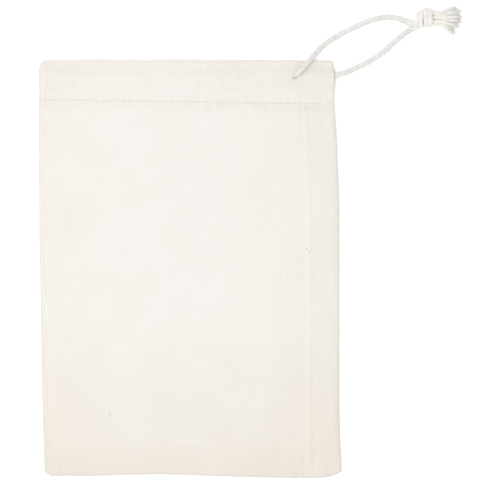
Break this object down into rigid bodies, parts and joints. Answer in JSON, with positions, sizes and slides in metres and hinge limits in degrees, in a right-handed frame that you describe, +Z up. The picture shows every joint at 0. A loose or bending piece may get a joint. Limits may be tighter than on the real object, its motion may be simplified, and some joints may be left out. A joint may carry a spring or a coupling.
{
  "type": "fabric gift sack",
  "caption": "Flat cotton muslin drawstring sack with a stitched casing at the mouth and a cotton cord that leaves it at one side and ends in a frayed knot.",
  "frame": {"origin": "under the middle of the cloth, on the surface that the sack lies on, the cord not counted", "axes": "+Y towards the mouth, +X towards the sewn side that the cord leaves by, +Z up out of the front panel"},
  "size_m": [0.1807, 0.2012, 0.0112],
  "materials": {
    "muslin": "washed plain-weave cotton, matte",
    "thread": "spun cotton-wrapped sewing thread, matte",
    "cord": "twisted cotton cord, slightly fuzzy"
  },
  "bodies": {
    "bag": {"back_panel": "muslin", "front_panel": "muslin", "left_fold": "muslin", "right_seam_allowance": "muslin", "bottom_seam_allowance": "muslin", "back_casing": "muslin", "front_casing": "muslin", "front_casing_stitches": "thread", "back_casing_stitches": "thread", "right_seam_stitches": "thread", "bottom_seam_stitches": "thread", "right_overlock": "thread", "bottom_overlock": "thread", "side_gap_tack": "thread", "drawstring_front_run": "cord", "drawstring_back_run": "cord"},
    "gathered_end": {"casing_fold": "muslin", "drawstring_left_bend": "cord"},
    "loop": {"drawstring_front_leg": "cord", "drawstring_side_leg": "cord"},
    "knot": {"end_knot": "cord", "front_frayed_end": "cord", "side_frayed_end": "cord"}
  },
  "joints": [
    {"name": "loop_swing", "type": "hinge", "parent": "bag", "child": "loop", "pos_m": [0.062, 0.0823, 0.0016], "axis": [0.9841, 0, -0.1775], "range_deg": [0, 100]},
    {"name": "drawstring_pull", "type": "slide", "parent": "loop", "child": "knot", "axis": [0.8919, 0.4522, 0], "range_m": [0, 0.06], "deforming": ["drawstring_front_leg", "drawstring_side_leg"]},
    {"name": "mouth_gather", "type": "slide", "parent": "bag", "child": "gathered_end", "axis": [1, 0, 0], "range_m": [0, 0.06], "deforming": ["back_panel", "front_panel", "left_fold", "back_casing", "front_casing", "front_casing_stitches", "back_casing_stitches", "drawstring_front_run", "drawstring_back_run"]}
  ],
  "couplings": [
    {"joint": "mouth_gather", "follows": "drawstring_pull", "ratio": 1}
  ]
}
